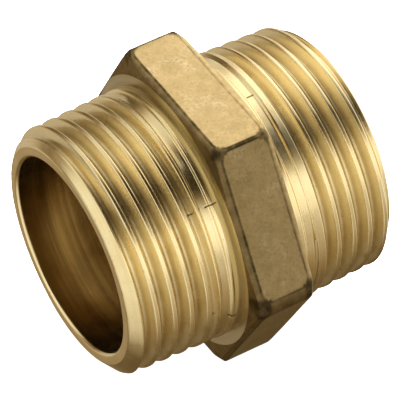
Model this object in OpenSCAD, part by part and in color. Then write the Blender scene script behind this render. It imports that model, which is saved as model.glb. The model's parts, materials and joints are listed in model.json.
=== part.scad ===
// Hex nipple: a short brass pipe fitting with a hexagon in the middle and a taper male pipe thread at each end.
// The real fitting is one piece of brass. It is drawn here as three regions that meet at the two side faces of
// the hexagon: the as-forged hexagon, and the two turned and threaded ends.
// Millimetres. The bore runs along X, +Z is up, and the origin is the middle of the fitting on the bore axis.
// The hexagon stands with one flat up and one flat down.

/* [Overall] */
// Length over both end faces
overall_l = 37.5; // [37:0.5:48]
// Through-bore diameter
bore_d = 26; // [24:0.5:26.5]
// Chamfer at each mouth of the bore
mouth_chamfer = 0.3; // [0.1:0.1:0.6]

/* [Hexagon] */
// Across the flats
hex_af = 37; // [36:0.5:42]
// Width of the hexagon along the bore
hex_w = 8; // [7:0.5:12]
// Radius on the four long edges beside the top and bottom flats
hex_edge_r = 0.7; // [0.3:0.1:1.2]
// Radius on the two long edges at the sides, where the forging dies part
hex_parting_r = 2.6; // [0.7:0.1:3]
// Width of the chamfer along both side edges of each flat
hex_chamfer_w = 1; // [0.5:0.1:1.5]
// Depth of that chamfer, square to the flat
hex_chamfer_d = 0.4; // [0.2:0.1:0.6]
// Diameter at each side face of the cone that trims the six corners
hex_trim_d = 40.6; // [36.2:0.2:41.4]
// Angle of that cone from the side face
hex_trim_angle = 40; // [25:1:45]

/* [Taper pipe thread] */
// Major diameter at the gauge plane
gauge_d = 33.249; // [33:0.001:33.5]
// Distance from the end face to the gauge plane
gauge_l = 10.4; // [9:0.1:12]
// Thread pitch, 11 threads an inch
pitch = 2.309; // [2.1:0.001:2.309]
// Taper on the diameter, one part in
taper_n = 16; // [14:1:20]
// Plain neck between the thread and the hexagon
neck_l = 3; // [2.5:0.5:4]
// Diameter of the plain neck
neck_d = 32.5; // [32:0.1:33]
// Length of the shoulder ring against the hexagon
shoulder_l = 1.3; // [0.8:0.1:1.6]
// Diameter of the shoulder ring
shoulder_d = 33.3; // [33.1:0.1:33.8]
// Outer diameter of the flat ring on the end face
end_ring_d = 29; // [28.6:0.2:31]
// Angle of the lead-in cone behind that ring, from the bore axis
lead_in_angle = 50; // [40:1:60]
// Angle of the thread start about the bore, left end
start_left = 46; // [0:1:359]
// Angle of the thread start about the bore, right end
start_right = 302; // [0:1:359]

/* [Hidden] */
$fn = 96;
end_l = (overall_l - hex_w) / 2;          // each threaded end, from its end face to the hexagon
thread_l = end_l - neck_l;                // threaded length, from the end face to the neck
bore_r = bore_d / 2;
taper = 1 / taper_n / 2;                  // change in radius per mm of length
depth = 0.640327 * pitch;                 // depth of a 55 degree thread with rounded crests and roots
tip_w = pitch / 6;                        // width left flat at the crest and at the root
bevel = 0.12;                             // rise of the small bevel that stands for the rounded root
flank = tan(27.5);                        // half of the 55 degree thread angle
proud = 0.15;                             // how far the cutting profile stands out of the crest
steps = 48;                               // facets of the cutting profile in one turn
run_out = 0.9 * pitch;                    // length over which the last groove grows shallow
end_clear = 0.3 * pitch;                  // the last groove is gone this far into the neck
clear_by = 0.05;                          // how far the cutting profile has left the crests by then
brass_forged = [0.78, 0.64, 0.38];
brass_turned = [0.85, 0.72, 0.42];

// Crest radius at a distance x from the end face
function crest(x) = gauge_d / 2 + (x - gauge_l) * taper;

// Groove depth at a distance x from the end face: full, then fading till it is clear of the crests at the neck
full_to = thread_l + end_clear - run_out;
function sink(x) = depth - (depth + proud + clear_by) * max(0, x - full_to) / run_out;

// One section of the cutting profile at an angle a, centred a distance x from the end face
function rib(x) = [
    [crest(x) - sink(x), tip_w / 2 - bevel * 0.6],
    [crest(x) - sink(x) + bevel, tip_w / 2 + bevel * flank],
    [crest(x) + proud, tip_w / 2 + (depth + proud) * flank]
];
function section(a, x) = [
    for (p = concat([for (q = rib(x)) q], [for (i = [2:-1:0]) [rib(x)[i][0], -rib(x)[i][1]]]))
        [p[0] * cos(a), p[0] * sin(a), x + p[1]]
];

// The thread groove: a right-hand spiral of closed sections, each joined to the next
module groove(start) {
    n = 6;
    from = -0.7 * pitch;
    count = ceil((thread_l + end_clear - from) / pitch * steps);
    points = [for (i = [0:count]) each section(start + 360 * i / steps, from + pitch * i / steps)];
    faces = concat(
        [[for (j = [0:n - 1]) j]],
        [for (i = [0:count - 1]) for (j = [0:n - 1]) each [
            [n * i + j, n * (i + 1) + (j + 1) % n, n * i + (j + 1) % n],
            [n * i + j, n * (i + 1) + j, n * (i + 1) + (j + 1) % n]
        ]],
        [[for (j = [n - 1:-1:0]) n * count + j]]
    );
    polyhedron(points, faces);
}

// The turned blank of one end, end face at z = 0 and the hexagon at z = end_l
module blank() {
    chamfer_l = (crest(1) - end_ring_d / 2) / tan(lead_in_angle);
    rotate_extrude()
        polygon([
            [bore_r + mouth_chamfer, 0],
            [end_ring_d / 2, 0],
            [crest(chamfer_l), chamfer_l],
            [crest(thread_l), thread_l],
            [neck_d / 2, thread_l + crest(thread_l) - neck_d / 2],
            [neck_d / 2, end_l - shoulder_l - (shoulder_d - neck_d) / 4],
            [shoulder_d / 2, end_l - shoulder_l],
            [shoulder_d / 2, end_l],
            [bore_r, end_l],
            [bore_r, mouth_chamfer]
        ]);
}

module threaded_end(start) {
    difference() {
        blank();
        groove(start);
    }
}

module left_threaded_end() {
    color(brass_turned)
        translate([-overall_l / 2, 0, 0]) rotate([0, 90, 0]) threaded_end(start_left);
}

module right_threaded_end() {
    color(brass_turned)
        translate([overall_l / 2, 0, 0]) rotate([0, -90, 0]) threaded_end(start_right);
}

// Radius on the long edge at 30 + 60 k degrees from the local x axis: the edges at 90 and 270 are parting edges
function edge_r(k) = k % 3 == 1 ? hex_parting_r : hex_edge_r;

// Outline of the hexagon with a radius on each corner, flats square to the local x axis
module hex_outline() {
    corner = hex_af / sqrt(3);
    polygon([
        for (k = [0:5]) for (s = [-30:7.5:30])
            [
                (corner - edge_r(k) / cos(30)) * cos(30 + 60 * k) + edge_r(k) * cos(30 + 60 * k + s),
                (corner - edge_r(k) / cos(30)) * sin(30 + 60 * k) + edge_r(k) * sin(30 + 60 * k + s)
            ]
    ]);
}

// Keeps what lies inside the chamfers on the side edges of all six flats
module inside_edge_chamfers() {
    slope = hex_chamfer_d / hex_chamfer_w;
    over = 1;
    face = hex_af / 2 - hex_chamfer_d;
    middle = face + slope * hex_w / 2;
    intersection_for (k = [0:2])
        rotate([90, 0, 60 * k])
            linear_extrude(height = 3 * hex_af, center = true)
                polygon([
                    [-face + slope * over, -over], [face - slope * over, -over],
                    [middle, hex_w / 2],
                    [face - slope * over, hex_w + over], [-face + slope * over, hex_w + over],
                    [-middle, hex_w / 2]
                ]);
}

module hex_collar() {
    grow = hex_w / 2 / tan(hex_trim_angle);
    color(brass_forged)
        translate([-hex_w / 2, 0, 0]) rotate([0, 90, 0])
            difference() {
                intersection() {
                    linear_extrude(height = hex_w) hex_outline();
                    inside_edge_chamfers();
                    rotate_extrude()
                        polygon([
                            [0, 0],
                            [hex_trim_d / 2, 0],
                            [hex_trim_d / 2 + grow, hex_w / 2],
                            [hex_trim_d / 2, hex_w],
                            [0, hex_w]
                        ]);
                }
                translate([0, 0, -1]) cylinder(r = bore_r, h = hex_w + 2);
            }
}

hex_collar();
left_threaded_end();
right_threaded_end();
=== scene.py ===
"""Looks for the hex nipple: fine meshes for its three regions, procedural brass and a plain soft studio."""

import json
import math

import bmesh
import bpy
import numpy as np
from mathutils import Matrix, Vector

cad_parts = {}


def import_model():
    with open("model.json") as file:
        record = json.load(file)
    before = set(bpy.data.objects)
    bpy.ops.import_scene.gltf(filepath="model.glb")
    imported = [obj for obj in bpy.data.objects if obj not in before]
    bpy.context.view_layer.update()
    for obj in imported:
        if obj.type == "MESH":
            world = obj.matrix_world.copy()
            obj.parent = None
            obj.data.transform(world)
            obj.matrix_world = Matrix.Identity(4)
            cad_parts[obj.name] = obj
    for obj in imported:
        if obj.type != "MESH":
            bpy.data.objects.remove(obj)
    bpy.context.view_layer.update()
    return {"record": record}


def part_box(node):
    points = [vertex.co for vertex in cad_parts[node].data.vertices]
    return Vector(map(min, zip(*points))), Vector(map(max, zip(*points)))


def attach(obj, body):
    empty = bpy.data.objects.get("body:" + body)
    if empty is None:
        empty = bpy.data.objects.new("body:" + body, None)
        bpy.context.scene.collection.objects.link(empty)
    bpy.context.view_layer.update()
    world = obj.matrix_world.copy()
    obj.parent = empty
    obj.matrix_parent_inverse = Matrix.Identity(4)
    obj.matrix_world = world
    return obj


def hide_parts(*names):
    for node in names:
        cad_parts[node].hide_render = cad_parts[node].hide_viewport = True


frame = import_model()

# ---------------------------------------------------------------- sizes, in metres, worked out from the frame
MM = 0.001
MOUNTS = {mount["name"]: mount for mount in frame["record"]["mounts"]}
LEFT_LOW, LEFT_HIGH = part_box("left_threaded_end")
HEX_LOW, HEX_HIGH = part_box("hex_collar")
BORE_R = MOUNTS["through_bore"]["dims"]["r_mm"] * MM

END_L = LEFT_HIGH.x - LEFT_LOW.x          # each threaded end, from its end face to the hexagon
END_X = -LEFT_LOW.x                       # distance of an end face from the middle
HEX_W = HEX_HIGH.x - HEX_LOW.x
HEX_AF = HEX_HIGH.z - HEX_LOW.z

# Taper pipe thread, the same figures as in the CAD part
PITCH = 2.309 * MM
GAUGE_R = 33.249 / 2 * MM
GAUGE_L = 10.4 * MM
TAPER = 1 / 32                            # change in radius per unit of length
SHARP_H = 0.960491 * PITCH                # height of the sharp 55 degree V
ROUND_R = 0.137329 * PITCH                # radius at the crest and at the root
HALF_ANGLE = math.radians(27.5)
NECK_L = 3.0 * MM
NECK_R = 16.25 * MM
SHOULDER_L = 1.3 * MM
SHOULDER_R = 16.65 * MM
END_RING_R = 14.5 * MM
LEAD_IN = math.radians(50)                # angle of the lead-in cone from the bore axis
MOUTH_CHAMFER = 0.3 * MM
GROOVE_START = {"left_threaded_end": 46, "right_threaded_end": 302}   # degrees about the bore
GROOVE_LEAD = -0.7 * PITCH                # where the first groove's middle starts, off the end face
THREAD_END = END_L - NECK_L               # length of the thread, from the end face to the neck

# Finer shapes of a threaded end, which the CAD part leaves sharp
CREST_CUT = 0.045 * MM                    # what the turned blank takes off the rounded crests
RING_EDGE_DROP = 0.07 * MM                # how far the end ring's edge is rounded back
RING_EDGE_L = 0.05 * MM                   # and the length over which it is
RING_EDGE_ROWS = (0.14 * MM, 0.09 * MM)   # rows on the end face beside that edge
RUN_OUT_FROM = THREAD_END - 0.62 * PITCH  # the last groove starts to grow shallow here
RUN_OUT_L = 0.95 * PITCH                  # and is gone after this length
RUN_OUT_RISE = 2 / 3 * SHARP_H + 0.1 * MM     # by then it has left the crests
NECK_SLOPE_L = 0.38 * MM                  # from the thread down to the neck
SHOULDER_SLOPE_L = 0.25 * MM              # from the neck up to the shoulder ring
THREAD_COLUMNS = 420
THREAD_ROWS = 26                          # rows in one pitch
BEAD_STEPS = 4                            # steps round a rounded corner of a profile

# Hexagon
HEX_TRIM_R = 20.3 * MM                    # radius at each side face of the cone that trims the corners
HEX_TRIM = math.radians(40)               # angle of that cone from the side face
HEX_EDGE_R = 0.7 * MM                     # radius on the four long edges beside the top and bottom flats
HEX_PARTING_R = 2.6 * MM                  # radius on the two long edges where the forging dies part
HEX_CORNER = HEX_AF / math.sqrt(3)        # from the axis to a sharp corner
SIDE_EDGE_R = 1.4 * MM                    # radius of the forged rounding along both side edges of a flat
SIDE_EDGE_D = 0.4 * MM                    # how deep that rounding is where the side face cuts it off
SIDE_EDGE_W = math.sqrt(SIDE_EDGE_R ** 2 - (SIDE_EDGE_R - SIDE_EDGE_D) ** 2)     # width of that rounding
FLAT_CORNER_R = 1.2 * MM                  # the flats read as rectangles with corners this round
FACING_R = HEX_AF / 2 - SIDE_EDGE_D       # the side faces are turned flat out to this radius
DRAFT = 0.07                              # slope of the forged side face outside the turned ring
DRAFT_FADE = 0.6 * MM                     # that slope fades out over this width of the outer wall
TRIM_SOFT = 0.16 * MM                     # rounding where the trimming cone meets the flats
EDGE_ROWS_W = 1.9 * MM                    # the outer wall's rows are close together this far in
WAVES = [   # unevenness of the forged skin: height, size, seed
    (0.020 * MM, 3.1 * MM, 3),
    (0.007 * MM, 0.8 * MM, 5),
]
SKIN_FADE = 0.5 * MM                      # the waves fade out this close to the turned ring

# Small dents along the bore on the turned ends: x, angle from the top towards the front, length and width,
# in millimetres and degrees
NICKS = [
    (-5.2, 45, 1.3, 0.15),
    (-7.8, 45.5, 0.4, 0.12),
    (-5.2, 103, 0.8, 0.28),
    (-7.7, 99, 0.3, 0.24),
    (6.2, 8, 0.7, 0.16),
]
NICK_FADE = 0.25                          # a dent fades out over this length at both ends
NICK_MIN_R = 14.8 * MM                    # no dent shows inside this radius

# ---------------------------------------------------------------- colours, linear red, green, blue and alpha
TURNED_DEEP = (0.85, 0.69, 0.38, 1)
TURNED_PALE = (0.91, 0.765, 0.455, 1)
TOOL_BAND = (0.72, 0.545, 0.27, 1)
TOOL_RING = (0.64, 0.47, 0.22, 1)
# painted light for the thread flanks
LIFTED_GROOVE_DEEP = (0.81, 0.68, 0.41, 1)
LIFTED_GROOVE_PALE = (0.90, 0.78, 0.50, 1)
# painted shade for the thread roots
ROOT_SHADE = (0.56, 0.43, 0.21, 1)
SPECK = (0.36, 0.23, 0.09, 1)
# painted shade for the bore
SHADED_BORE_DEEP = (0.41, 0.31, 0.16, 1)
SHADED_BORE_PALE = (0.70, 0.55, 0.31, 1)
FACED_DEEP = (0.48, 0.42, 0.28, 1)
FACED_PALE = (0.76, 0.67, 0.46, 1)
# colour of the small dents
NICK_DARK = (0.10, 0.06, 0.02, 1)
FORGED_DEEP = (0.25, 0.172, 0.068, 1)
FORGED_PALE = (0.29, 0.203, 0.087, 1)
FORGED_CLOUD = (0.36, 0.25, 0.11, 1)
FORGED_GRAIN = (0.175, 0.11, 0.038, 1)
FORGED_RUBBED = (0.42, 0.335, 0.19, 1)
FORGED_SPECULAR = (1.0, 0.80, 0.48, 1)
# dark oxide along the rounded edges, partly painted shade
EDGE_STAIN_AND_SHADE = (0.085, 0.052, 0.016, 1)
# painted shade: the near-black line beside the flats and in the corners where they meet
PAINTED_SHADE_LINE = (0.02, 0.012, 0.004, 1)
FLOOR_GREY = (0.6, 0.6, 0.6, 1)
WHITE = (1.0, 1.0, 1.0, 1)
DIM_TINT = (1.0, 0.68, 0.30, 1)           # the studio's dim zones give warm light
BRIGHT_TINT = (1.0, 0.985, 0.90, 1)       # its softboxes give nearly white light

# ---------------------------------------------------------------- studio and camera
# Long softboxes: lower and upper angle about the bore, softness of each limit, strength
STRIPS = [
    (-42, 44, 50, 12, 0.72),              # table in front, fading below
    (9, 40, 11, 9, 0.26),                 # front softbox above it
    (100, 148, 12, 13, 0.88),             # back softbox
    (190, 228, 9, 24, 0.60),              # table behind
    (-200, -40, 1, 40, 0.12),             # table below, in front
    (225, 400, 20, 1, 0.12),              # table below, behind
    (150, 192, 8, 8, 0.13),               # wall behind, between the back softbox and the table
    (-200, 400, 1, 1, 0.03),              # the dark room
]
OVERHEAD_GAP = 0.30                       # how much further out the end softboxes start overhead
KEY_STRENGTH = 22.0
KEY_AZIMUTH = 112                         # the key stands to the right and a little behind
KEY_ELEVATION = 37
KEY_SPREAD = 16                           # degrees across, which gives soft shadows
KEY_COLOUR = (0.94, 0.99, 1.10)
CARDS = [   # pale cards: angle about the bore, distance, from x, to x, width, radiance
    (128, 62 * MM, 19 * MM, 130 * MM, 150 * MM, 0.66),    # over the back of the right end
    (66, 62 * MM, 19 * MM, 130 * MM, 70 * MM, 0.05),      # over the right end
    (21, 62 * MM, -120 * MM, 70 * MM, 36 * MM, 0.36),     # a long narrow one in front of both ends
]
CARD_COLOUR = (1.0, 0.99, 0.94)
FLOOR_HALF = 3.0                          # half the side of the square floor
FLOOR_GAP = 0.05 * MM                     # the floor lies this far under the hexagon's lower flat
FLOOR_GLOW = 0.97
CAMERA_AZIMUTH = -29.75
CAMERA_ELEVATION = 45.27
CAMERA_ROLL = -1.84
CAMERA_DISTANCE = 443.7 * MM
CAMERA_SENSOR = 36.0
CAMERA_LENS = 321.3
CAMERA_SHIFT = (0.00125, -0.0045)         # fractions of the frame
CAMERA_CLIP = 10 * MM


# ---------------------------------------------------------------- seeded noise for the meshes
def lattice(ix, iy, iz, seed):
    """A repeatable random number from 0 to 1 at each whole-number point, from scrambled bits."""
    n = ix * 374761393 + iy * 668265263 + iz * 2147483647 + seed * 1274126177
    n = (n ^ (n >> 13)) * 1103515245
    n = n ^ (n >> 16)
    return (n & 0xFFFFFF) / float(0xFFFFFF)


def noise(points, size, seed):
    """Smooth noise from -1 to 1, with features about as wide as size."""
    p = points / size
    cell = np.floor(p).astype(np.int64)
    f = smooth(p - cell)
    total = np.zeros(points.shape[:-1])
    for dx in (0, 1):
        for dy in (0, 1):
            for dz in (0, 1):
                weight = np.ones(points.shape[:-1])
                for axis, d in enumerate((dx, dy, dz)):
                    weight = weight * (f[..., axis] if d else 1 - f[..., axis])
                total += weight * lattice(cell[..., 0] + dx, cell[..., 1] + dy, cell[..., 2] + dz, seed)
    return total * 2 - 1


# ---------------------------------------------------------------- numbers and profiles
def smooth(x):
    """A soft step: 0 up to x = 0, 1 from x = 1 on."""
    x = np.clip(x, 0, 1)
    return x * x * (3 - 2 * x)


def rise(value, start, width):
    """A soft step from 0 to 1 that begins where value is start and takes this width."""
    return smooth((value - start) / width)


def soft_min(a, b, soft):
    """The smaller of two values, with the change from one to the other rounded over about soft."""
    gap = np.clip(0.5 + (b - a) / (2 * soft), 0, 1)
    return b * (1 - gap) + a * gap - soft * gap * (1 - gap)


def bead(start, corner, end, radius):
    """Points that round a corner of a profile: start, corner and end are (distance, radius) pairs."""
    a, b, c = (np.array(p, float) for p in (start, corner, end))
    u, v = (a - b) / np.linalg.norm(a - b), (c - b) / np.linalg.norm(c - b)
    first, last = b + u * radius, b + v * radius
    t = np.linspace(0, 1, BEAD_STEPS + 1)[:, None]
    return (1 - t) ** 2 * first + 2 * t * (1 - t) * b + t ** 2 * last


def profile(points, radii):
    """A profile through the points, with each inner corner rounded by its radius."""
    out = [np.array(points[0], float)[None]]
    for i in range(1, len(points) - 1):
        if radii[i]:
            out.append(bead(points[i - 1], points[i], points[i + 1], radii[i]))
        else:
            out.append(np.array(points[i], float)[None])
    out.append(np.array(points[-1], float)[None])
    return np.concatenate(out)


def mesh_from_rows(name, points, slots, values):
    """A closed mesh from a grid of rows (along the profile) by columns (round the bore).

    The last row and column repeat the first, and points that fall together are merged. slots gives each
    row's material, and values holds named numbers for each point, which the materials read.
    """
    rows, columns = points.shape[:2]
    index = np.arange(rows * columns).reshape(rows, columns)
    corners = [index[:-1, :-1], index[:-1, 1:], index[1:, 1:], index[1:, :-1]]
    quads = np.stack(corners, axis=-1).reshape(-1, 4)
    mesh = bpy.data.meshes.new(name)
    mesh.from_pydata(points.reshape(-1, 3).tolist(), [], quads.tolist())
    mesh.polygons.foreach_set("material_index", np.repeat(slots, columns - 1).astype(np.int32))
    for key, grid in values.items():
        attribute_data = mesh.attributes.new(key, "FLOAT", "POINT").data
        attribute_data.foreach_set("value", grid.reshape(-1).astype(np.float32))
    merge = 0.0001 * MM
    bm = bmesh.new()
    bm.from_mesh(mesh)
    bmesh.ops.remove_doubles(bm, verts=bm.verts, dist=merge)
    bmesh.ops.dissolve_degenerate(bm, dist=merge, edges=bm.edges)
    bmesh.ops.recalc_face_normals(bm, faces=bm.faces)
    for face in bm.faces:
        face.smooth = True
    bm.to_mesh(mesh)
    bm.free()
    piece = bpy.data.objects.new(name, mesh)
    bpy.context.scene.collection.objects.link(piece)
    return piece


# ---------------------------------------------------------------- threaded ends
def crest(s):
    """Radius of the thread's crests at a distance s from the end face."""
    return GAUGE_R + (s - GAUGE_L) * TAPER


def thread_depth(u):
    """How far the thread's surface lies under its crests, at a distance u along the axis from a crest."""
    u = np.abs((u + PITCH / 2) % PITCH - PITCH / 2)
    top = SHARP_H / 2 - SHARP_H / 6 - ROUND_R            # centre of the crest's arc above the pitch line
    flank = SHARP_H / 2 - u / math.tan(HALF_ANGLE)
    edge = ROUND_R * math.cos(HALF_ANGLE)
    arc_top = top + np.sqrt(np.maximum(ROUND_R ** 2 - u ** 2, 0))
    w = PITCH / 2 - u
    arc_root = -top - np.sqrt(np.maximum(ROUND_R ** 2 - w ** 2, 0))
    height = np.where(u < edge, arc_top, np.where(w < edge, arc_root, flank))
    return SHARP_H / 3 - height


def outside(s, angle, start):
    """Outer radius at distance s and angle (radians): the turned blank with the groove cut in it."""
    turned = crest(s) - CREST_CUT
    lead_in = END_RING_R + s * math.tan(LEAD_IN) - RING_EDGE_DROP * np.exp(-s / RING_EDGE_L)
    blank = np.minimum(turned, lead_in)
    middle = GROOVE_LEAD + PITCH * (angle - math.radians(start)) / (2 * math.pi)
    fade = rise(s, RUN_OUT_FROM, RUN_OUT_L)
    cut = crest(s) - thread_depth(s - middle + PITCH / 2) + fade * RUN_OUT_RISE
    return np.minimum(blank, cut)


def end_bore():
    """Profile of the bore, its mouth chamfer and the end face, from the hexagon out."""
    return profile(
        [
            (END_L, BORE_R),
            (END_L * 0.66, BORE_R),
            (END_L * 0.33, BORE_R),
            (MOUTH_CHAMFER, BORE_R),
            (0, BORE_R + MOUTH_CHAMFER),
            (0, (BORE_R + END_RING_R) / 2),
            (0, END_RING_R - RING_EDGE_ROWS[0]),
            (0, END_RING_R - RING_EDGE_ROWS[1]),
        ],
        [0, 0, 0, 0.08 * MM, 0.1 * MM, 0, 0, 0],
    )


def end_tail():
    """Profile past the thread: neck, shoulder ring and the joint face against the hexagon."""
    return profile(
        [
            (THREAD_END, crest(THREAD_END) - CREST_CUT),
            (THREAD_END + NECK_SLOPE_L, NECK_R),
            (END_L - SHOULDER_L - SHOULDER_SLOPE_L, NECK_R),
            (END_L - SHOULDER_L, SHOULDER_R),
            (END_L, SHOULDER_R),
            (END_L, BORE_R),
        ],
        [0, 0.12 * MM, 0.15 * MM, 0.12 * MM, 0, 0],
    )


def turned_rows(rows, angle):
    """A grid of (distance, radius, angle) made by turning a profile round the bore."""
    flat = np.broadcast_to(rows[:, None, :], (len(rows), len(angle), 2))
    spin = np.broadcast_to(angle[None, :, None], (len(rows), len(angle), 1))
    return np.concatenate([flat, spin], -1)


def thread_rows(angle, start):
    """A grid of (distance, radius, angle) whose rows follow the thread, so that its crests stay crisp."""
    count = int(round((THREAD_END + PITCH) / PITCH * THREAD_ROWS))
    base = np.linspace(-PITCH, THREAD_END, count + 1)
    s = base[:, None] + PITCH * angle[None, :] / (2 * math.pi)
    s = np.clip(s, 0, THREAD_END)
    spin = np.repeat(angle[None, :], s.shape[0], 0)
    return np.stack([s, outside(s, angle[None, :], start), spin], -1)


def threaded_end(name):
    """One turned end. It gets the attribute root, which is 0 on a crest and 1 in a root."""
    angle = np.linspace(0, 2 * math.pi, THREAD_COLUMNS + 1)
    thread = thread_rows(angle, GROOVE_START[name])
    grid = np.concatenate([turned_rows(end_bore(), angle), thread, turned_rows(end_tail(), angle)])
    s, r = grid[..., 0], grid[..., 1]
    # the last column repeats the first, so that the two merge
    a = np.where(np.arange(THREAD_COLUMNS + 1) == THREAD_COLUMNS, 0.0, grid[..., 2])
    if name.startswith("left"):
        points = np.stack([s - END_X, r * np.sin(a), -r * np.cos(a)], -1)
    else:
        points = np.stack([END_X - s, r * np.sin(a), r * np.cos(a)], -1)
    depth = np.clip((crest(s) - r) / thread_depth(PITCH / 2), 0, 1)
    root = depth * (s < THREAD_END) * (r > END_RING_R)
    piece = mesh_from_rows(name + "_turned", points, np.zeros(len(grid) - 1), {"root": root})
    piece.data.materials.append(turned_brass())
    return piece


# ---------------------------------------------------------------- hexagon
def off_flat(angle):
    """Angle from the middle of the nearest flat."""
    return (angle + math.pi / 6) % (math.pi / 3) - math.pi / 6


def long_edge(k):
    """Angle, radius and distance of the arc's centre for the long edge k, counted from the top flat."""
    radius = HEX_PARTING_R if k % 3 == 1 else HEX_EDGE_R
    return math.radians(30 + 60 * k), radius, HEX_CORNER - radius / math.cos(math.pi / 6)


def hexagon_angles(flat_steps=56, arc_steps=12):
    """Angles round the hexagon from the middle of the top flat, close together on the rounded long edges."""
    turn = np.linspace(-math.pi / 6, math.pi / 6, arc_steps + 1)
    steps = flat_steps // 2 + 1
    angles = []
    for k in range(6):
        at, radius, centre = long_edge(k)
        arc = at + np.arctan2(radius * np.sin(turn), centre + radius * np.cos(turn))
        before, after = math.radians(60 * k), math.radians(60 * k + 60)
        towards = before + np.arctan(np.linspace(0, math.tan(arc[0] - before), steps))
        away = after - np.arctan(np.linspace(math.tan(after - arc[-1]), 0, steps))
        angles += [towards[:-1], arc, away[1:-1]]
    return np.concatenate(angles + [[2 * math.pi]])


def hexagon_radius(angle):
    """Distance from the bore axis to the outline of the hexagon with its long edges rounded."""
    out = HEX_AF / 2 / np.cos(off_flat(angle))
    for k in range(6):
        at, radius, centre = long_edge(k)
        off = np.abs(angle - at)
        touch = math.atan2(radius / 2, centre + radius * math.cos(math.pi / 6))
        reach = np.maximum(radius ** 2 - (centre * np.sin(off)) ** 2, 0)
        arc = centre * np.cos(off) + np.sqrt(reach)
        out = np.where(off < touch, np.minimum(arc, out), out)
    return out


def hex_wall():
    """Rows across half of the outer wall: how far each lies in from the side face, and under the flat."""
    rim = [0, 0.03 * MM, 0.08 * MM]
    close = np.linspace(0.16 * MM, EDGE_ROWS_W, 23)
    wide = np.linspace(EDGE_ROWS_W, HEX_W / 2, 13)[1:]
    inset = np.concatenate([rim, close, wide])
    drop = SIDE_EDGE_R - np.sqrt(SIDE_EDGE_R ** 2 - np.maximum(SIDE_EDGE_W - inset, 0) ** 2)
    return inset, drop


def hex_side(angle):
    """Half of the hexagon: x and radius of each row from the bore out over the side face and along the wall.

    Also returns how many of the rows are the turned ring.
    """
    half = HEX_W / 2
    inset, drop = hex_wall()
    wall = hexagon_radius(angle)[None, :] - drop[:, None] / np.cos(off_flat(angle))[None, :]
    cone = np.broadcast_to((HEX_TRIM_R + inset / math.tan(HEX_TRIM))[:, None], wall.shape)
    wall = soft_min(wall, cone, TRIM_SOFT)
    # outside the turned ring the forged rim falls back a little
    fall = np.maximum(wall[0] - FACING_R, 0)[None, :]
    wall_x = half - inset[:, None] - fall * DRAFT * np.exp(-inset / DRAFT_FADE)[:, None]
    ring = np.linspace(BORE_R, FACING_R, 16)[:-1]
    ring = np.concatenate([ring, [FACING_R - 0.05 * MM, FACING_R - 0.012 * MM]])
    ring_r = np.broadcast_to(ring[:, None], (len(ring), len(angle)))
    rim_r = FACING_R + fall * np.array([0, 0.12, 0.3, 0.5, 0.7, 0.86, 0.96])[:, None]
    rim_x = half - np.maximum(rim_r - FACING_R, 0) * DRAFT
    side_r = np.concatenate([ring_r, rim_r, wall])
    side_x = np.concatenate([np.full(ring_r.shape, half), rim_x, wall_x])
    return side_x, side_r, len(ring)


def uneven_skin(points, radius, a):
    """Moves the forged skin in and out a little, and less and less towards the turned ring."""
    height = sum(amount * noise(points, size, seed) for amount, size, seed in WAVES)
    height = height * rise(radius, FACING_R, SKIN_FADE)
    points[..., 1] += np.sin(a) * height
    points[..., 2] += np.cos(a) * height


def hex_marks(angle, x, radius):
    """Where the forged skin's rounded edges are darkened, partly dark oxide and partly painted shade, and
    where a narrow line of painted shade lies beside the flats.
    """
    # how far each point lies outside the flats, which read as rectangles with rounded corners
    half = HEX_W / 2
    across = radius * np.abs(np.sin(off_flat(angle)))[None, :]
    sector = np.floor(angle / (math.pi / 3)).astype(int) % 6
    widths = [HEX_CORNER / 2 - long_edge(k)[1] * math.tan(math.pi / 6) for k in range(6)]
    flat_half = np.array(widths)[sector][None, :]
    off_x = np.abs(x) - (half - SIDE_EDGE_W) + FLAT_CORNER_R
    off_a = across - flat_half + FLAT_CORNER_R
    beyond = np.hypot(np.maximum(off_x, 0), np.maximum(off_a, 0)) - FLAT_CORNER_R
    beyond = beyond + np.minimum(np.maximum(off_x, off_a), 0)
    forged = radius > FACING_R
    edge = rise(beyond, -0.04 * MM, 0.26 * MM) * forged
    # the painted shade line also fills the corners where two flats meet
    line = rise(beyond, -0.02 * MM, 0.16 * MM) * (1 - rise(beyond, 0.24 * MM, 0.26 * MM))
    corner = rise(beyond, 0, 0.16 * MM) * rise(np.minimum(off_x, off_a), 0.35 * MM, 0.5 * MM)
    line = np.maximum(line, corner) * forged
    # on the side edges on the +X side, which face the key light, the edge darkening and the shade line are
    # partly taken off as painted light, and most on the top flat's
    key_side_lift = 0.3 + 0.27 * (np.cos(angle) > math.cos(math.pi / 6))[None, :]
    right = rise(x - half + SIDE_EDGE_W, -0.1 * MM, 0.4 * MM)
    key_side = right * rise(flat_half - across, 0, 0.8 * MM)
    edge = edge * (1 - key_side * key_side_lift)
    line = line * (1 - key_side * np.minimum(1.4 * key_side_lift, 1))
    return edge, line


def hex_collar():
    """The hexagon: both side faces, the outer wall and its stretch of the bore."""
    angle = hexagon_angles()
    side_x, side_r, ring_rows = hex_side(angle)
    bore_x = np.linspace(HEX_W / 2, -HEX_W / 2, 6)[1:-1, None] * np.ones_like(angle)[None, :]
    radius = np.concatenate([side_r, side_r[-2::-1], np.full(bore_x.shape, BORE_R), side_r[:1]])
    x = np.concatenate([-side_x, side_x[-2::-1], bore_x, -side_x[:1]])
    a = np.where(np.arange(len(angle)) == len(angle) - 1, 0.0, angle)[None, :]
    points = np.stack([x, radius * np.sin(a), radius * np.cos(a)], -1)
    uneven_skin(points, radius, a)
    # slot 0 is the forged skin, slot 1 the turned rings and the bore
    slots = np.zeros(len(points) - 1)
    slots[:ring_rows] = 1
    slots[2 * len(side_r) - 2 - ring_rows:] = 1
    edge, line = hex_marks(angle, x, radius)
    piece = mesh_from_rows("hex_collar_forged", points, slots, {"edge": edge, "line": line})
    piece.data.materials.append(forged_brass())
    piece.data.materials.append(turned_brass())
    return piece


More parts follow.
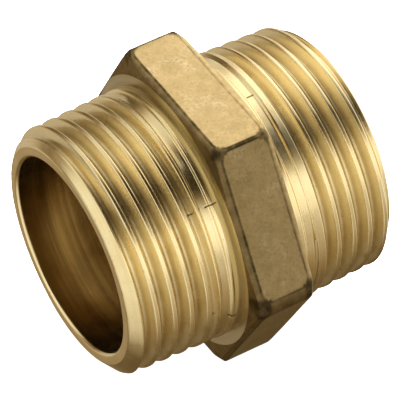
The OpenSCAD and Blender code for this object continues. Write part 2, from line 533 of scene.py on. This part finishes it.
# ---------------------------------------------------------------- shader nodes
def node(tree, kind, **settings):
    """A new node with some of its properties set."""
    n = tree.nodes.new(kind)
    for key, value in settings.items():
        setattr(n, key, value)
    return n


def put(tree, target, value):
    """Sets a socket to a plain value, or links another socket to it."""
    if hasattr(value, "is_linked"):
        tree.links.new(value, target)
    else:
        target.default_value = value


def math_node(tree, operation, a, b=0.0):
    """One step of arithmetic on two sockets or numbers."""
    n = node(tree, "ShaderNodeMath", operation=operation)
    put(tree, n.inputs[0], a)
    put(tree, n.inputs[1], b)
    return n.outputs[0]


def product(tree, *values):
    """All the values multiplied together."""
    out = values[0]
    for v in values[1:]:
        out = math_node(tree, "MULTIPLY", out, v)
    return out


def ramp_between(tree, value, low, high, to_low=0.0, to_high=1.0):
    """A soft step from to_low, where value is low, to to_high, where it is high."""
    n = node(tree, "ShaderNodeMapRange", interpolation_type="SMOOTHSTEP")
    put(tree, n.inputs["Value"], value)
    put(tree, n.inputs["From Min"], low)
    put(tree, n.inputs["From Max"], high)
    put(tree, n.inputs["To Min"], to_low)
    put(tree, n.inputs["To Max"], to_high)
    return n.outputs["Result"]


def mix_colour(tree, factor, a, b):
    """Colour a where the factor is 0 and colour b where it is 1."""
    n = node(tree, "ShaderNodeMix", data_type="RGBA")
    put(tree, n.inputs[0], factor)
    put(tree, n.inputs[6], a)
    put(tree, n.inputs[7], b)
    return n.outputs[2]


def noise_node(tree, vector, scale, detail=2.0, roughness=0.5):
    """Noise from 0 to 1, with about scale features in a metre."""
    n = node(tree, "ShaderNodeTexNoise")
    put(tree, n.inputs["Vector"], vector)
    n.inputs["Scale"].default_value = scale
    n.inputs["Detail"].default_value = detail
    n.inputs["Roughness"].default_value = roughness
    return n.outputs["Fac"]


def attribute(tree, name):
    """A number that the mesh holds for each point."""
    n = node(tree, "ShaderNodeAttribute")
    n.attribute_name = name
    return n.outputs["Fac"]


def bump_normal(tree, height, strength, distance):
    """A normal tilted by a height."""
    bump = node(tree, "ShaderNodeBump")
    bump.inputs["Strength"].default_value = strength
    bump.inputs["Distance"].default_value = distance
    put(tree, bump.inputs["Height"], height)
    return bump.outputs[0]


def new_material(name):
    """A material with its node tree and shader, or with None for both if it has been made already."""
    m = bpy.data.materials.get(name)
    if m:
        return m, None, None
    m = bpy.data.materials.new(name)
    m.use_nodes = True
    tree = m.node_tree
    return m, tree, tree.nodes["Principled BSDF"]


# ---------------------------------------------------------------- brass
def nick(tree, split, x, angle, length, width):
    """1 on a thin dent along the bore and 0 elsewhere. NICKS says what the last four figures are."""
    cos_a = math.cos(math.radians(angle))
    sin_a = math.sin(math.radians(angle))
    along = math_node(tree, "ABSOLUTE", math_node(tree, "SUBTRACT", split[0], x * MM))
    y_cos = product(tree, split[1], cos_a)
    y_sin = product(tree, split[1], sin_a)
    z_cos = product(tree, split[2], cos_a)
    z_sin = product(tree, split[2], sin_a)
    side = math_node(tree, "ABSOLUTE", math_node(tree, "ADD", y_cos, z_sin))
    outward = math_node(tree, "SUBTRACT", z_cos, y_sin)
    return product(
        tree,
        ramp_between(tree, along, length / 2 * MM, (length / 2 + NICK_FADE) * MM, 1.0, 0.0),
        ramp_between(tree, side, width * 0.3 * MM, width * MM, 1.0, 0.0),
        math_node(tree, "GREATER_THAN", outward, NICK_MIN_R),
    )


def all_nicks(tree, split):
    """1 on every dent, 0 elsewhere."""
    nicks = nick(tree, split, *NICKS[0])
    for one in NICKS[1:]:
        nicks = math_node(tree, "MAXIMUM", nicks, nick(tree, split, *one))
    return nicks


def lathe_marks(tree, x, y, radius):
    """Noise that runs round the bore: fine tool rings, wider bands and the boring tool's coarse tracks."""
    ring = node(tree, "ShaderNodeCombineXYZ")
    put(tree, ring.inputs[0], x)
    put(tree, ring.inputs[1], radius)
    put(tree, ring.inputs[2], product(tree, y, 0.02))    # the rings change slowly from one side to the other
    at = ring.outputs[0]
    rings = noise_node(tree, at, scale=7000, roughness=0.6)
    bands = noise_node(tree, at, scale=1500)
    tracks = noise_node(tree, at, scale=700, detail=3.0, roughness=0.7)
    return rings, bands, tracks


def cut_tone(tree, place, root, patches, rings, bands):
    """Colour of the turned outside: tool marks, paler grooves as painted light on the flanks, painted shade
    in the roots, and dark specks.
    """
    root_shade_noise = noise_node(tree, place, scale=260, detail=3.0, roughness=0.6)
    specks = noise_node(tree, place, scale=2600, detail=3.0, roughness=0.7)
    tone = mix_colour(tree, ramp_between(tree, patches, 0.35, 0.7), TURNED_DEEP, TURNED_PALE)
    tone = mix_colour(tree, ramp_between(tree, bands, 0.45, 0.75, 0.0, 0.30), tone, TOOL_BAND)
    tone = mix_colour(tree, ramp_between(tree, rings, 0.5, 0.8, 0.0, 0.35), tone, TOOL_RING)
    # painted light: a paler tone that lifts the thread flanks
    groove = mix_colour(tree, bands, LIFTED_GROOVE_DEEP, LIFTED_GROOVE_PALE)
    tone = mix_colour(tree, ramp_between(tree, root, 0.05, 0.5), tone, groove)
    # painted shade in the thread roots, in patches
    root_shade_patches = ramp_between(tree, root_shade_noise, 0.40, 0.62, 0.30, 0.62)
    tone = mix_colour(tree, product(tree, ramp_between(tree, root, 0.40, 0.95), root_shade_patches), tone, ROOT_SHADE)
    return mix_colour(tree, ramp_between(tree, specks, 0.62, 0.72, 0.0, 0.45), tone, SPECK)


def turned_brass():
    """Satin brass with the fine rings of a lathe tool, darker in the bore as painted shade, and duller on the
    hexagon's side faces.
    """
    m, tree, shader = new_material("lathe_turned_brass")
    if tree is None:
        return m
    place = node(tree, "ShaderNodeTexCoord").outputs["Object"]
    split = node(tree, "ShaderNodeSeparateXYZ")
    put(tree, split.inputs[0], place)
    x, y, z = split.outputs
    from_middle = math_node(tree, "ABSOLUTE", x)
    radius = math_node(tree, "SQRT", math_node(tree, "ADD", product(tree, y, y), product(tree, z, z)))
    rings, bands, tracks = lathe_marks(tree, x, y, radius)
    patches = noise_node(tree, place, scale=300, detail=3.0, roughness=0.55)
    grain = noise_node(tree, place, scale=4200, roughness=0.6)
    nicks = all_nicks(tree, (x, y, z))
    # the lead-in cone near each end face doesn't count as part of a groove
    threaded = ramp_between(tree, from_middle, 16.9 * MM, 17.5 * MM, 1.0, 0.0)
    root = product(tree, attribute(tree, "root"), threaded)
    bored = ramp_between(tree, radius, BORE_R + 0.02 * MM, BORE_R + 0.10 * MM, 1.0, 0.0)
    in_hexagon = math_node(tree, "LESS_THAN", from_middle, HEX_W / 2 + 0.02 * MM)
    faced = product(tree, in_hexagon, math_node(tree, "SUBTRACT", 1.0, bored))

    tone = cut_tone(tree, place, root, patches, rings, bands)
    # painted shade inside the bore, varied by the boring tool's tracks
    shaded_bore_tone = mix_colour(tree, ramp_between(tree, tracks, 0.34, 0.72), SHADED_BORE_DEEP, SHADED_BORE_PALE)
    tone = mix_colour(tree, bored, tone, shaded_bore_tone)
    tone = mix_colour(tree, faced, tone, mix_colour(tree, bands, FACED_DEEP, FACED_PALE))
    # each dent is coloured nearly black
    tone = mix_colour(tree, product(tree, nicks, 0.8), tone, NICK_DARK)
    put(tree, shader.inputs["Base Color"], tone)
    shader.inputs["Metallic"].default_value = 1.0

    # highlights are drawn out round the bore, along the tool rings
    shader.inputs["Anisotropic"].default_value = 0.55
    turn = node(tree, "ShaderNodeTangent", direction_type="RADIAL", axis="X")
    put(tree, shader.inputs["Tangent"], turn.outputs[0])
    rough = ramp_between(tree, patches, 0.3, 0.75, 0.17, 0.25)
    rough = math_node(tree, "ADD", rough, ramp_between(tree, root, 0.0, 0.35, 0.0, 0.10))
    rough = math_node(tree, "ADD", rough, product(tree, faced, 0.12))
    put(tree, shader.inputs["Roughness"], rough)

    height = math_node(tree, "ADD", product(tree, rings, 0.8), product(tree, grain, 0.5))
    height = math_node(tree, "ADD", height, product(tree, bands, 1.5))
    height = math_node(tree, "SUBTRACT", height, product(tree, nicks, 4.0))
    put(tree, shader.inputs["Normal"], bump_normal(tree, height, strength=0.5, distance=0.012 * MM))
    return m


def forged_brass():
    """Dull, fine-grained brass of the forged hexagon, darker along its rounded edges from dark oxide and
    painted shade, with a line of painted shade beside the flats.
    """
    m, tree, shader = new_material("die_forged_brass")
    if tree is None:
        return m
    place = node(tree, "ShaderNodeTexCoord").outputs["Object"]
    blotch = noise_node(tree, place, scale=210, detail=3.0, roughness=0.6)
    cloud = noise_node(tree, place, scale=700, roughness=0.6)
    rubbed = noise_node(tree, place, scale=260, detail=4.0, roughness=0.7)
    grain = noise_node(tree, place, scale=2600, detail=3.0, roughness=0.65)
    fine = noise_node(tree, place, scale=7000, roughness=0.6)
    edge = attribute(tree, "edge")
    line = attribute(tree, "line")

    tone = mix_colour(tree, ramp_between(tree, blotch, 0.35, 0.7), FORGED_DEEP, FORGED_PALE)
    tone = mix_colour(tree, ramp_between(tree, cloud, 0.40, 0.72, 0.0, 0.45), tone, FORGED_CLOUD)
    tone = mix_colour(tree, ramp_between(tree, grain, 0.45, 0.72, 0.0, 0.30), tone, FORGED_GRAIN)
    smoothed = ramp_between(tree, grain, 0.60, 0.42, 0.0, 0.42)
    pale = product(tree, ramp_between(tree, rubbed, 0.52, 0.70), smoothed)
    tone = mix_colour(tree, pale, tone, FORGED_RUBBED)
    # dark oxide and painted shade along the rounded edges
    stain_and_shade = product(tree, edge, ramp_between(tree, cloud, 0.25, 0.7, 0.68, 0.42))
    tone = mix_colour(tree, stain_and_shade, tone, EDGE_STAIN_AND_SHADE)
    # painted shade: a near-black line beside the flats, weaker in places
    shade_line_amount = product(tree, line, ramp_between(tree, cloud, 0.3, 0.65, 0.95, 0.55))
    tone = mix_colour(tree, shade_line_amount, tone, PAINTED_SHADE_LINE)
    put(tree, shader.inputs["Base Color"], tone)
    put(tree, shader.inputs["Metallic"], math_node(tree, "ADD", 0.5, product(tree, stain_and_shade, 0.25)))
    shader.inputs["Specular Tint"].default_value = FORGED_SPECULAR
    rough = ramp_between(tree, grain, 0.3, 0.7, 0.46, 0.60)
    put(tree, shader.inputs["Roughness"], math_node(tree, "SUBTRACT", rough, product(tree, edge, 0.14)))

    height = math_node(tree, "ADD", grain, product(tree, fine, 0.5))
    height = math_node(tree, "ADD", height, product(tree, cloud, 1.2))
    put(tree, shader.inputs["Normal"], bump_normal(tree, height, strength=0.75, distance=0.03 * MM))
    return m


# ---------------------------------------------------------------- studio
def softbox(tree, around, low, high, soft_low, soft_high, strength):
    """A long softbox between two angles, with soft edges."""
    brighten = ramp_between(tree, around, low - soft_low, low + soft_low)
    dim = ramp_between(tree, around, high - soft_high, high + soft_high, strength, 0.0)
    return product(tree, brighten, dim)


def end_softboxes(tree, around, x):
    """Softboxes beyond the two ends of the fitting, which start further out overhead."""
    overhead = softbox(tree, around, 48, 90, 8, 8, 1.0)
    gap = product(tree, overhead, OVERHEAD_GAP)
    left = product(
        tree,
        ramp_between(tree, math_node(tree, "ADD", x, gap), -0.45, -0.62),
        ramp_between(tree, around, 150, 172, 1.05, 0.3),
        ramp_between(tree, around, -110, -40, 0.38, 1.0),
    )
    right = product(
        tree,
        ramp_between(tree, math_node(tree, "SUBTRACT", x, gap), 0.45, 0.75),
        ramp_between(tree, around, -95, -25, 0.6, 1.25),
    )
    far_left = ramp_between(tree, x, -0.80, -0.93, 0.0, 0.66)
    return left, right, far_left


def world():
    """A studio of long softboxes that lie along the bore, with a plain white backdrop for the camera.

    Their places are angles about the bore axis: 0 is the front, 90 overhead, 180 the back, and below 0 or
    above 180 is the table.
    """
    w = bpy.data.worlds.new("studio")
    bpy.context.scene.world = w
    w.use_nodes = True
    tree = w.node_tree
    tree.nodes.clear()
    split = node(tree, "ShaderNodeSeparateXYZ")
    put(tree, split.inputs[0], node(tree, "ShaderNodeTexCoord").outputs["Generated"])
    x, y, z = split.outputs
    from_top = product(tree, math_node(tree, "ARCTAN2", y, z), 180 / math.pi)
    around = math_node(tree, "ADD", from_top, 90.0)

    total = softbox(tree, around, *STRIPS[0])
    for one in STRIPS[1:]:
        total = math_node(tree, "ADD", total, softbox(tree, around, *one))
    for light in end_softboxes(tree, around, x):
        total = math_node(tree, "MAXIMUM", total, light)

    # bright zones are nearly white, and so are the end softboxes at lower strength
    ends = ramp_between(tree, math_node(tree, "ABSOLUTE", x), 0.50, 0.85)
    ends = product(tree, ends, ramp_between(tree, total, 0.1, 0.6))
    white = math_node(tree, "MAXIMUM", ramp_between(tree, total, 0.0, 1.0), ends)
    studio = node(tree, "ShaderNodeBackground")
    put(tree, studio.inputs["Color"], mix_colour(tree, white, DIM_TINT, BRIGHT_TINT))
    # the dull skin gets less of the light that comes from below
    rays = node(tree, "ShaderNodeLightPath").outputs
    below = product(tree, rays["Is Diffuse Ray"], ramp_between(tree, z, -0.20, 0.35, 0.92, 0.0))
    put(tree, studio.inputs["Strength"], product(tree, total, math_node(tree, "SUBTRACT", 1.0, below)))

    backdrop = node(tree, "ShaderNodeBackground")
    backdrop.inputs["Color"].default_value = WHITE
    mix = node(tree, "ShaderNodeMixShader")
    put(tree, mix.inputs[0], rays["Is Camera Ray"])
    put(tree, mix.inputs[1], studio.outputs[0])
    put(tree, mix.inputs[2], backdrop.outputs[0])
    out = node(tree, "ShaderNodeOutputWorld")
    put(tree, out.inputs[0], mix.outputs[0])


def direction(azimuth, elevation):
    """The direction from the origin at this azimuth (0 is the front, 90 is +X) and elevation, in degrees."""
    a, e = math.radians(azimuth), math.radians(elevation)
    return Vector((math.sin(a) * math.cos(e), -math.cos(a) * math.cos(e), math.sin(e)))


def facing(toward):
    """A turn that makes a light or camera look back from this direction at the origin."""
    return toward.to_track_quat("Z", "Y").to_matrix().to_4x4()


def key_light():
    """A key light from above and the right, only for the dull skin: it has no place in the reflections."""
    data = bpy.data.lights.new("key", "SUN")
    data.energy = KEY_STRENGTH
    data.angle = math.radians(KEY_SPREAD)
    data.color = KEY_COLOUR
    lamp = bpy.data.objects.new("key", data)
    lamp.matrix_world = facing(direction(KEY_AZIMUTH, KEY_ELEVATION))
    lamp.visible_glossy = False
    bpy.context.scene.collection.objects.link(lamp)


def card_light(number, angle, distance, low, high, width, radiance):
    """A pale card from x = low to x = high that faces the bore axis and lifts the dark zones opposite it."""
    name = "card_%d" % number
    data = bpy.data.lights.new(name, "AREA")
    data.shape = "RECTANGLE"
    data.size = high - low
    data.size_y = width
    data.energy = radiance * data.size * data.size_y * math.pi
    data.color = CARD_COLOUR
    a = math.radians(angle)
    outward = Vector((0, -math.cos(a), math.sin(a)))
    along = Vector((1, 0, 0))
    lamp = bpy.data.objects.new(name, data)
    turn = Matrix((along, outward.cross(along), outward)).transposed().to_4x4()
    lamp.matrix_world = Matrix.Translation(outward * distance + along * (low + high) / 2) @ turn
    lamp.visible_camera = False
    bpy.context.scene.collection.objects.link(lamp)


def floor():
    """A plain pale floor under the hexagon's lower flat, which reflections don't show."""
    mesh = bpy.data.meshes.new("floor")
    z = HEX_LOW.z - FLOOR_GAP
    corners = [(x * FLOOR_HALF, y * FLOOR_HALF, z) for x, y in ((-1, -1), (1, -1), (1, 1), (-1, 1))]
    mesh.from_pydata(corners, [], [(0, 1, 2, 3)])
    plane = bpy.data.objects.new("floor", mesh)
    bpy.context.scene.collection.objects.link(plane)
    m, _, shader = new_material("pale_floor")
    shader.inputs["Base Color"].default_value = FLOOR_GREY
    shader.inputs["Roughness"].default_value = 0.9
    shader.inputs["Specular IOR Level"].default_value = 0.0
    shader.inputs["Emission Color"].default_value = WHITE
    shader.inputs["Emission Strength"].default_value = FLOOR_GLOW
    mesh.materials.append(m)
    plane.visible_glossy = False
    plane.visible_diffuse = False


def camera():
    """The camera looks along the fitting from the left, the front and above."""
    back = direction(CAMERA_AZIMUTH, CAMERA_ELEVATION)
    data = bpy.data.cameras.new("camera")
    data.sensor_width = CAMERA_SENSOR
    data.lens = CAMERA_LENS
    data.shift_x, data.shift_y = CAMERA_SHIFT
    data.clip_start = CAMERA_CLIP
    cam = bpy.data.objects.new("camera", data)
    bpy.context.scene.collection.objects.link(cam)
    roll = Matrix.Rotation(math.radians(CAMERA_ROLL), 4, "Z")
    cam.matrix_world = Matrix.Translation(back * CAMERA_DISTANCE) @ facing(back) @ roll
    bpy.context.scene.camera = cam


# ---------------------------------------------------------------- the scene
def main():
    """Builds the studio, then each piece with the CAD node that it stands for."""
    camera()
    world()
    key_light()
    for number, card in enumerate(CARDS):
        card_light(number, *card)
    floor()
    for name in ("left_threaded_end", "right_threaded_end"):
        piece = threaded_end(name)
        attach(piece, "root")
        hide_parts(name)
    collar = hex_collar()
    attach(collar, "root")
    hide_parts("hex_collar")
    bpy.context.scene.view_settings.view_transform = "Standard"


main()
